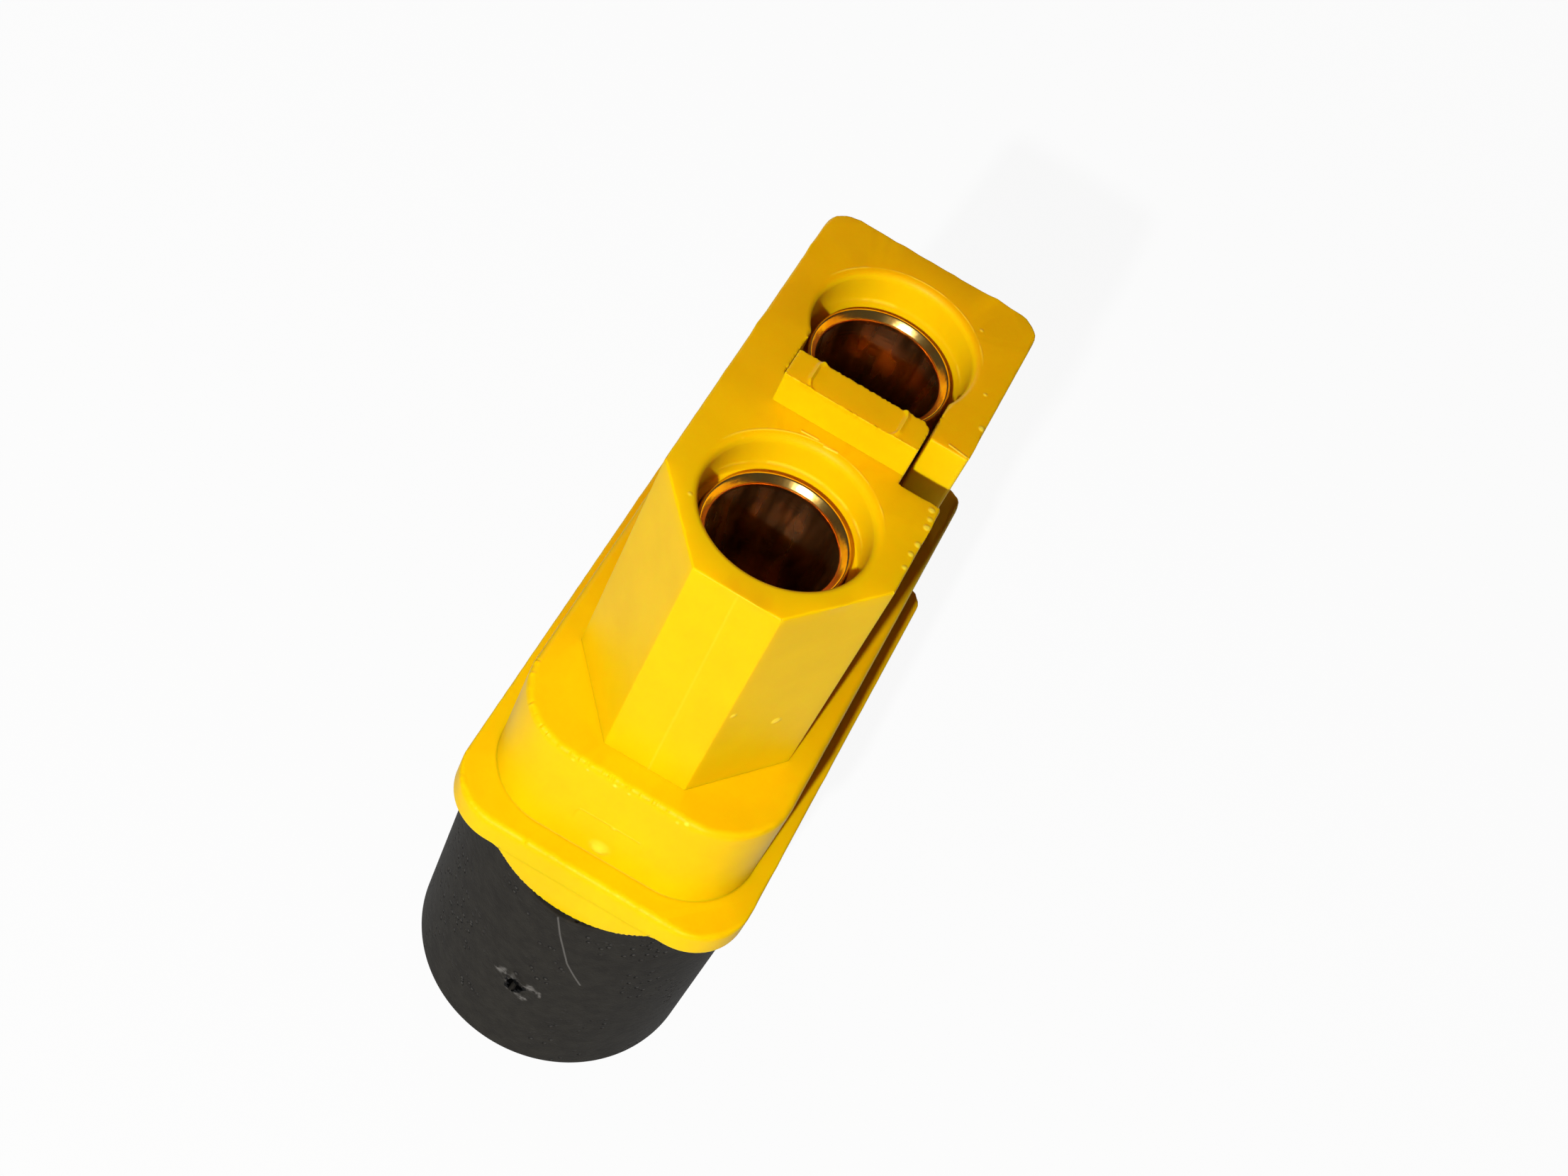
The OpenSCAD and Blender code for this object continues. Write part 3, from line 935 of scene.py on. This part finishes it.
def nose_patches():
    """The nose as one shell: keyed walls above, plain walls below, and the keyway's floor."""
    points, directions = keyed_outline(0.35)
    plain = soften(points, 0.05, 0.3)
    far_side = np.clip((points[:, 1] - contact_y) / well_r, -1, 1)
    lead_in = well_round * (0.7 + 0.3 * far_side)
    round_top = lead_in + plain * (0.11 - lead_in)
    uneven = np.clip(ripple(len(points), 3, (60, 200)), -1, 1)
    round_top = round_top * (1 + 0.35 * plain * uneven)
    burr = burrs(len(points), 31, 0.1, 0.06) * plain
    offsets, heights = wall_profile(len(points), keyway_floor, face_z, top=round_top, burr=burr,
                                    step=0.6)
    upper = skin(points, directions, offsets, heights)
    near_well, well_top, well_bottom = well_patches(-contact_y)
    face = lid([edge_loop(upper, len(points), -1), well_top], face_z)

    corners = nose_corners(0.35)
    mouth = [(nose_half, notch_y[0] - 0.16, 0, 0.35), (nose_half, notch_y[1] + 0.16, 0, 0.35)]
    low_points, low_directions = outline(corners[:3] + mouth + corners[3:])
    offsets, heights = wall_profile(len(low_points), nose_z, keyway_floor, top=0.0, step=0.6)
    lower = skin(low_points, low_directions, offsets, heights)
    hole_points, hole_directions = circle(0, contact_y, hole_r, 96, inward=True)
    zero = np.zeros((2, len(hole_points)))
    far_hole = skin(hole_points, hole_directions, zero,
                    zero + np.array([[nose_z], [keyway_floor]]))
    floor = lid([low_points, points, hole_points], keyway_floor)
    bottom = lid([low_points, well_bottom, hole_points], nose_z)
    return [upper, face, lower, far_hole, floor, bottom] + near_well


housing = build("housing_moulding", nose_patches(), yellow)
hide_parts("housing")

# %% [markdown]
# ## The rib
#
# The rib is a small block standing on the face, between the pocket and the near well. A pin
# pushed the moulding out of its tool there and left a shallow mark with two raised arcs. The mark
# is a height added to the points of a fine lid, so that it catches the light as real shape.

# %% Rib
EJECTOR = (0.08, -0.05, 2.0, 0.95, 0.6)


def ejector_relief(x, y):
    """Height of the ejector's mark over the rib's top, in millimetres.

    With d the signed distance from a rounded rectangle, the surface inside (d < 0) is sunk by a
    smooth step, and a lip the shape of exp(-(d / w) squared) stands along its two ends.
    """
    cx, cy, half_x, half_y, r = EJECTOR
    qx, qy = np.abs(x - cx) - half_x + r, np.abs(y - cy) - half_y + r
    d = np.hypot(np.maximum(qx, 0), np.maximum(qy, 0)) + np.minimum(np.maximum(qx, qy), 0) - r
    sunk = np.clip(-d / 0.1, 0, 1) ** 2
    ends = np.clip((np.abs(x - cx) - 1.3) / 0.2, 0, 1) * np.clip(y - cy + 0.75, 0, 0.3) / 0.3
    return -0.04 * sunk + 0.1 * ends * np.exp(-(d / 0.075) ** 2)


def rib_patches():
    """Rib from just under the face up to its rounded top edge, standing a hair proud."""
    x0, x1, y0, y1 = rib_x[0], rib_x[1] + 0.004, rib_y[0], rib_y[1] + 0.004
    points, directions = outline([(x0, y0, 0.1, 0.06), (x1, y0, 0.1, 0.06),
                                  (x1, y1, 0.45, 0.06), (x0, y1, 0.1, 0.06)])
    edge = 0.08 * (1 + 0.5 * np.clip(ripple(len(points), 11, (20, 90)), -1, 1))
    near_side = np.clip(-directions[:, 1], 0, 1)
    burr = (0.02 + burrs(len(points), 12, 0.1, 0.09)) * near_side
    root = face_z - 0.7
    offsets, heights = wall_profile(len(points), root, rib_top, top=edge, burr=burr, step=0.3)
    wall = skin(points, directions, offsets, heights)
    top = lid([edge_loop(wall, len(points), -1)], rib_top, step=0.05)
    bottom = lid([edge_loop(wall, len(points), 0)], root)
    for vertices, _ in (wall, top):
        near_top = np.clip(1 - (rib_top - vertices[:, 2]) / 0.3, 0, 1)
        vertices[:, 2] += near_top * ejector_relief(vertices[:, 0], vertices[:, 1])
    return [wall, top, bottom]


build("housing_rib", rib_patches(), yellow)

# %% [markdown]
# ## The shoulder
#
# The shoulder is a block with round near corners. Its near wall carries the mark of the moulding
# gate, where the plastic ran in: a shallow scar under a curved line, with a round nub where the
# gate was torn off. Both are a small offset of the wall's own points.

# %% Shoulder with its gate mark
GATE_TOP, GATE_HALF = 19.82, 1.55
GATE_NUB = (0.02, 17.95, 0.46)


def gate_relief(x, z):
    """Height of the gate mark over the near wall of the shoulder, in millimetres.

    The scar is sunk by a smooth step below a line that bends down at both ends, and fades out
    downward; the nub is a low dome, its height falling with the square of the distance.
    """
    bend = np.clip((np.abs(x) - GATE_HALF + 0.25) / 0.3, 0, 1) ** 2 * 0.35
    under = GATE_TOP - bend - z
    step = np.clip(under / 0.07, 0, 1) * np.clip(1 - under / 1.3, 0, 1)
    side = np.clip((GATE_HALF + 0.12 - np.abs(x)) / 0.15, 0, 1)
    nub_x, nub_z, nub_r = GATE_NUB
    away = np.hypot(x - nub_x, z - nub_z) / nub_r
    dome = np.clip(1 - away ** 2, 0, 1)
    return -0.05 * step * side + 0.16 * dome


def shoulder_patches():
    """Shoulder block: round near corners, tighter far corners, gate mark on the near wall."""
    half = shoulder_half
    points, directions = outline([
        (-half, shoulder_near, 3.4, 0.07), (half, shoulder_near, 3.4, 0.6),
        (half, shoulder_far, 1.0, 0.6), (-half, shoulder_far, 1.0, 0.6)])
    edge = 0.32 * (1 + 0.12 * np.clip(ripple(len(points), 5, (30, 220)), -1, 1))
    burr = burrs(len(points), 6, 0.1, 0.05)
    foot = np.where(points[:, 1] < flange_far - 0.3, 0.05, 0.0)
    offsets, heights = wall_profile(len(points), shoulder_z, nose_z, top=edge, foot=foot,
                                    burr=burr, step=0.08)
    facing = np.clip(-directions[:, 1] * 20 - 19, 0, 1)
    offsets = offsets + facing * gate_relief(points[None, :, 0], heights)
    wall = skin(points, directions, offsets, heights)
    holes, loops = [], []
    for y in (-contact_y, contact_y):
        hole_points, hole_directions = circle(0, y, hole_r, 96, inward=True)
        zero = np.zeros((2, len(hole_points)))
        holes.append(skin(hole_points, hole_directions, zero,
                          zero + np.array([[shoulder_z], [nose_z]])))
        loops.append(hole_points)
    lids = [lid([edge_loop(wall, len(points), -1)] + loops, nose_z),
            lid([edge_loop(wall, len(points), 0)] + loops, shoulder_z)]
    return [wall] + holes + lids


build("housing_shoulder", shoulder_patches(), yellow)

# %% [markdown]
# ## The flange
#
# The flange is the plate that the cap is pushed up against. It stops short of the square end,
# where the shoulder's own outline carries on down to the cap.


# %% Flange
def flange_patches():
    """Flange plate; its lower edge stays square where the tongue hangs from the near wall."""
    half = flange_half
    points, directions = outline([
        (-half, flange_near, 2.65, 0.1), (half, flange_near, 2.65, 0.4),
        (half, flange_far, 1.05, 0.6), (-half, flange_far, 1.05, 0.4)])
    near_part = np.clip(-directions[:, 1], 0, 1)
    edge = 0.14 + 0.18 * near_part + 0.04 * np.clip(ripple(len(points), 8, (30, 260)), -1, 1)
    burr = burrs(len(points), 7, 0.12, 0.045)
    clear = np.clip((np.abs(points[:, 0]) - tongue_half) / 0.3, 0, 1)
    clear = np.where(points[:, 1] > flange_near + 1.0, 1, clear)
    offsets, heights = wall_profile(len(points), flange_z, shoulder_z, top=edge,
                                    bottom=0.14 * clear, burr=burr, step=0.3)
    wall = skin(points, directions, offsets, heights)
    far_points, far_directions = outline([
        (-shoulder_half, flange_near + 4, 0.1, 0.6), (shoulder_half, flange_near + 4, 0.1, 0.6),
        (shoulder_half, shoulder_far, 1.0, 0.6), (-shoulder_half, shoulder_far, 1.0, 0.6)])
    offsets, heights = wall_profile(len(far_points), flange_z, shoulder_z, top=0.0, bottom=0.0)
    block = skin(far_points, far_directions, offsets, heights)
    return [wall, lid([edge_loop(wall, len(points), -1)], shoulder_z),
            lid([edge_loop(wall, len(points), 0)], flange_z),
            block, lid([far_points], shoulder_z), lid([far_points], flange_z)]


build("housing_flange", flange_patches(), yellow)

# %% [markdown]
# ## The tongue
#
# The flange's near wall runs straight down into an arched tongue that keys the cap, so no edge
# shows between them. It is the same kind of skin and lid, made lying down and then turned.


# %% Tongue
def turn_to_near_wall(vertices):
    """(x, z, depth) becomes (x, y, z): depth runs from the spigot's middle to the near wall."""
    return np.stack([vertices[:, 0], -cap_centre - vertices[:, 2], vertices[:, 1]], 1)


def tongue_patches():
    """Arched tongue: the region under the flange inside a circle through the tongue's ends.

    Its outline lies in the plane of the near wall, and the profile runs inward along Y. The
    arch's front edge is rounded, and its straight upper edge stays square under the flange.
    """
    centre_z = flange_z - tongue_drop + tongue_r
    reach = math.asin(tongue_half / tongue_r)
    angle = -math.pi / 2 + np.linspace(-reach, reach, 120)
    arch = np.stack([tongue_r * np.cos(angle), centre_z + tongue_r * np.sin(angle)], 1)
    arch_out = np.stack([np.cos(angle), np.sin(angle)], 1)
    chord = np.linspace(tongue_half, -tongue_half, 60)[1:-1]
    points = np.concatenate([arch, np.stack([chord, chord * 0 + flange_z], 1)])
    directions = np.concatenate([arch_out, np.stack([chord * 0, chord * 0 + 1], 1)])
    from_end = np.clip((tongue_half - np.abs(points[:, 0])) / 0.5, 0, 1)
    on_arch = np.arange(len(points)) < len(arch)
    edge = np.where(on_arch, 0.16 * from_end ** 0.5, 0)
    edge = edge * (1 + 0.25 * np.clip(ripple(len(points), 21, (20, 90)), -1, 1))
    depth = -flange_near - cap_centre
    offsets, heights = wall_profile(len(points), 0, depth, top=edge, step=0.5)
    wall_vertices, wall_faces = skin(points, directions, offsets, heights)
    front = lid([edge_loop((wall_vertices, wall_faces), len(points), -1)], depth)
    back = lid([points], 0)
    return [(turn_to_near_wall(vertices), faces)
            for vertices, faces in ((wall_vertices, wall_faces), front, back)]


build("housing_tongue", tongue_patches(), yellow)

# %% [markdown]
# ## The spigot
#
# Below the flange, the housing goes on as a stadium inside the cap. It shows only from beneath,
# with the two seats that hold the contacts' collars, so plain walls are enough.


# %% Spigot
def spigot_patches():
    """Stadium spigot inside the cap, with the two seats that hold the contacts' collars."""
    points, directions = stadium(cap_bore_r - cap_gap, cap_centre)
    offsets, heights = wall_profile(len(points), spigot_z, flange_z, top=0.0, bottom=0.15)
    wall = skin(points, directions, offsets, heights)
    seats, loops = [], []
    for y in (-contact_y, contact_y):
        hole_points, hole_directions = circle(0, y, seat_r, 96, inward=True)
        zero = np.zeros((2, len(hole_points)))
        seats.append(skin(hole_points, hole_directions, zero,
                          zero + np.array([[spigot_z], [collar_top]])))
        seats.append(lid([hole_points], collar_top))
        loops.append(hole_points)
    lids = [lid([edge_loop(wall, len(points), -1)], flange_z),
            lid([edge_loop(wall, len(points), 0)] + loops, spigot_z)]
    return [wall] + seats + lids


build("housing_spigot", spigot_patches(), yellow)

# %% [markdown]
# ## The torn hole in the cap
#
# The cap's near wall has a small torn hole with a ragged ring of flakes round it. It is a height
# over the wall, worked out from the distance to the hole and from smooth random numbers.


# %% Torn hole
def value_noise(x, z, seed, cell):
    """Smooth noise on a square lattice: random values blended with a cubic step in each cell."""
    rng = np.random.default_rng(seed)
    table = rng.uniform(-1, 1, (64, 64))
    u, v = x / cell + 32, z / cell + 32
    i, j = np.floor(u).astype(int) % 63, np.floor(v).astype(int) % 63
    a, b = u - np.floor(u), v - np.floor(v)
    a, b = a * a * (3 - 2 * a), b * b * (3 - 2 * b)
    low = table[i, j] * (1 - a) + table[i + 1, j] * a
    high = table[i, j + 1] * (1 - a) + table[i + 1, j + 1] * a
    return low * (1 - b) + high * b


def scar_relief(x, z):
    """Height of the torn hole and its flakes over the cap's near wall, in millimetres.

    A hole with a wavering radius is sunk deep; round it, ridged noise raises flakes that fade
    out with distance, most of them above the hole and to its right.
    """
    dx, dz = x - SCAR[0], z - SCAR[1]
    around = np.arctan2(dz, dx)
    away = np.hypot(dx * 1.15, dz * 0.85)
    hole_radius = 0.36 + 0.1 * np.sin(3 * around + 0.6) + 0.06 * np.sin(7 * around)
    hole = np.clip((hole_radius - away) / 0.1, 0, 1)
    flakes = 1 - np.abs(value_noise(x, z, 4, 0.3)) * 1.6
    flakes = np.clip(flakes, 0, 1) * (0.6 + 0.4 * value_noise(x, z, 9, 0.12))
    ring = np.clip((away - hole_radius + 0.05) / 0.1, 0, 1) * np.clip(1.25 - away, 0, 1)
    weight = 0.55 + 0.45 * np.sin(around + 0.5)
    return -0.9 * hole + 0.16 * flakes * ring * weight * (1 - hole)


middle = scar_relief(np.array([SCAR[0]]), np.array([SCAR[1]]))
print("height at the hole's middle in mm:", round(float(middle[0]), 2))

# %% [markdown]
# ## The cap
#
# The cap is a stadium tube that narrows toward its rear rim. Its wall is one grid, of which the
# top row dips along the arch, which leaves the seat for the tongue without any cutting. The grid
# is fine round the torn hole and coarser elsewhere.


# %% Cap wall
def cap_top(x, y):
    """Height of the cap's top edge: level, but following the arch where the tongue sits."""
    gap = 0.06
    reach = np.clip(1 - (x / (tongue_r + gap)) ** 2, 0, 1)
    arch = flange_z - tongue_drop + tongue_r - (tongue_r + gap) * np.sqrt(reach)
    seated = (np.abs(x) < tongue_half + gap) & (y < 0)
    return np.where(seated, np.minimum(arch, flange_z), flange_z)


def cap_patches():
    """Outer wall, inner wall and the two rims of the cap, from one outline.

    At a height z the outer radius is the rim's plus the draft's share z / height. Rows crowd
    round the hole's height, and the near end's columns are finer than the rest.
    """
    points, directions = stadium(1.0, cap_centre, near_step=0.006, far_step=0.06)
    spine = points - directions
    t = np.concatenate([np.linspace(0.012, 0.26, 8)[:-1], np.linspace(0.26, 0.52, 90)[:-1],
                        np.linspace(0.52, 0.995, 26)])[:, None]
    edge = 0.14
    outer_xy = spine + directions * cap_top_r
    top = cap_top(outer_xy[:, 0], outer_xy[:, 1])[None]
    f = np.linspace(0, math.pi / 2, 5)[:, None]
    heights = np.concatenate([top * 0 + edge * (1 - np.cos(f)), edge + t * (top - 2 * edge),
                              top - edge * (1 - np.sin(f))])
    radius = cap_rim_r + (cap_top_r - cap_rim_r) * heights / cap_high[2]
    rounding = np.concatenate([1 - np.sin(f), t * 0, 1 - np.cos(f)]) * edge
    radius = radius - rounding
    near = np.clip(-directions[:, 1] * 4 - 2, 0, 1)[None]
    x = spine[None, :, 0] + directions[None, :, 0] * radius
    radius = radius + near * scar_relief(x, heights)
    outer = skin(spine, directions, radius, heights)
    inner_heights = np.concatenate([top * 0, np.minimum(top, cap_top(
        spine[:, 0] + directions[:, 0] * cap_bore_r, outer_xy[:, 1])[None])])
    inner = skin(spine, directions, inner_heights * 0 + cap_bore_r, inner_heights)
    rims = []
    for row, inner_row in ((0, 0), (-1, -1)):
        ring_radius = np.stack([radius[row], radius[row] * 0 + cap_bore_r])
        ring_height = np.stack([heights[row], inner_heights[inner_row]])
        rims.append(skin(spine, directions, ring_radius, ring_height))
    return [outer, inner] + rims


cap = build("rear_cap_shell", cap_patches(), charcoal, angle=50)
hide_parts("rear_cap")

# %% [markdown]
# ## The contacts
#
# Each contact is a lathe shape: a profile of radius against height, turned about its own axis.
# A narrow cone opens the mouth, a long lead-in closes down to the bore, and a collar stands out
# near the middle. The rear end is a cup for solder, cut on a slant so that a lead can be laid in.


# %% Contacts
def turned(profile, y, count=144):
    """Surface of turning: a closed profile of (radius, height) carried round an upright axis."""
    angle = np.arange(count) * 2 * math.pi / count
    radius, height = profile[:, 0:1], profile[:, 1:2]
    x = radius * np.cos(angle)
    across = y + radius * np.sin(angle)
    vertices = np.stack([x, across, height + 0 * x], -1).reshape(-1, 3)
    return vertices, grid_faces(len(profile), count)


def contact_profile():
    """Profile from the middle of the bore's floor, up over the mouth and down to the cup.

    The mouth is a cone of half a right angle's slope, and the rim's outer edge is a quarter
    circle: its centre plus the radius times (cos a, sin a). Below the cone the radius falls to
    the bore's by half of 1 + cos a, as a goes to pi.
    """
    brim, crest, cone = 0.1, 0.12, 0.23
    collar_low = collar_top - collar_length
    outer = np.linspace(math.pi / 2, 0, 7)
    down = np.linspace(math.pi, 0, 16)
    lead_in = np.stack([bore_r + (mouth_r - bore_r) * (1 + np.cos(down)) / 2,
                        rim_z - cone - 0.12 - lead_in_depth * down / math.pi], 1)
    top_r = tube_r - crest
    mouth = np.array([[mouth_r + 0.01, rim_z - cone - 0.06], [mouth_r + 0.05, rim_z - cone],
                      [top_r - 0.05, rim_z - 0.045], [top_r - 0.02, rim_z - 0.012]])
    edge = np.stack([tube_r - brim + brim * np.cos(outer), rim_z - brim + brim * np.sin(outer)], 1)
    return np.concatenate([
        [[1e-4, bore_end], [bore_r - 0.15, bore_end], [bore_r, bore_end + 0.15]],
        lead_in, mouth, edge,
        [[tube_r, collar_top], [collar_r - 0.05, collar_top], [collar_r, collar_top - 0.05],
         [collar_r, collar_low + 0.05], [collar_r - 0.05, collar_low],
         [tube_r, collar_low], [tube_r, cup_end + 0.08], [tube_r - 0.08, cup_end],
         [cup_r + 0.08, cup_end], [cup_r, cup_end + 0.08], [cup_r, cup_top], [1e-4, cup_top]]])


def slant_cup(vertices, side):
    """Lift the cup's end to a slanted plane, lowest on the side toward the other contact."""
    across = vertices[:, 1] - side * contact_y
    lift = cup_slant * (tube_r + side * across) / (2 * tube_r)
    return vertices + np.stack([lift * 0, lift * 0, lift * (vertices[:, 2] < cup_end + 0.1)], 1)


for side, node_name in ((-1, "contact_cut_end"), (1, "contact_square_end")):
    vertices, faces = turned(contact_profile(), side * contact_y)
    patches = [(slant_cup(vertices, side), faces)]
    piece = build(node_name + "_turned", patches, gold, angle=40)
    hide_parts(node_name)

# %% [markdown]
# ## The floor
#
# The floor is pale and plain. Seen by the camera or mirrored in the metal it is nearly white,
# with the object's shadow kept light, while the light that it sends back stays that of a pale
# grey surface. More lamps would give the same white, but they would wash out the colours.


# %% Floor
def make_floor():
    """Pale floor: plain white to the camera with a light shadow, and white in reflections."""
    material = bpy.data.materials.new("pale_floor")
    material.use_nodes = True
    tree = material.node_tree
    shader = tree.nodes["Principled BSDF"]
    shader.inputs["Base Color"].default_value = (0.66, 0.66, 0.66, 1)
    shader.inputs["Roughness"].default_value = 0.9
    glow = node(tree, "ShaderNodeEmission", {"Color": (1, 1, 1, 1), "Strength": 1.0}).outputs[0]
    path = node(tree, "ShaderNodeLightPath")
    seen = strongest(tree, [path.outputs["Is Camera Ray"], path.outputs["Is Glossy Ray"],
                            path.outputs["Is Transmission Ray"]])
    share = math_node(tree, "MULTIPLY", seen, 0.93)
    mixed = node(tree, "ShaderNodeMixShader", {0: share, 1: shader.outputs[0], 2: glow})
    tree.links.new(mixed.outputs[0], tree.nodes["Material Output"].inputs[0])
    half = 1.5  # metres
    mesh = bpy.data.meshes.new("floor")
    mesh.from_pydata([(-half, -half, 0), (half, -half, 0), (half, half, 0), (-half, half, 0)],
                     [], [(0, 1, 2, 3)])
    mesh.materials.append(material)
    floor = bpy.data.objects.new("floor", mesh)
    bpy.context.scene.collection.objects.link(floor)
    print("floor", 2 * half, "m wide")


make_floor()

# %% [markdown]
# ## The light
#
# One small lamp on the cut-corner side is the main light, and its size sets how soft the shadows
# in the wells are. A wide, weak lamp behind lifts the far edges, and a dim warm world fills the
# rest. A lamp's place is an angle round the object, an angle above the floor and a distance.


# %% Light
def area_lamp(name, azimuth, elevation, distance, size, power):
    """Round lamp that faces the object from an azimuth and an elevation in degrees.

    Its direction is (sin a cos e, -cos a cos e, sin e), and its place is the middle of the mating
    face plus that direction times the distance.
    """
    data = bpy.data.lights.new(name, "AREA")
    data.shape = "DISK"
    data.size = size
    data.energy = power
    lamp = bpy.data.objects.new(name, data)
    bpy.context.scene.collection.objects.link(lamp)
    a, e = math.radians(azimuth), math.radians(elevation)
    out = Vector((math.sin(a) * math.cos(e), -math.cos(a) * math.cos(e), math.sin(e)))
    aim = Vector((0, 0, face_z * MM))
    lamp.location = aim + out * distance
    lamp.rotation_euler = out.to_track_quat("Z", "Y").to_euler()
    print(name, "at", [round(value, 3) for value in lamp.location], "m,", power, "W")


area_lamp("key_lamp", -4.2, 33.5, 0.5, 0.013, 3.8)
area_lamp("back_lamp", -150, 8, 0.5, 0.12, 0.6)

world = bpy.data.worlds.new("studio")
bpy.context.scene.world = world
world.use_nodes = True
background = world.node_tree.nodes["Background"]
background.inputs["Color"].default_value = (1.0, 0.9, 0.8, 1.0)
background.inputs["Strength"].default_value = 0.055

bpy.context.scene.view_settings.view_transform = "Standard"
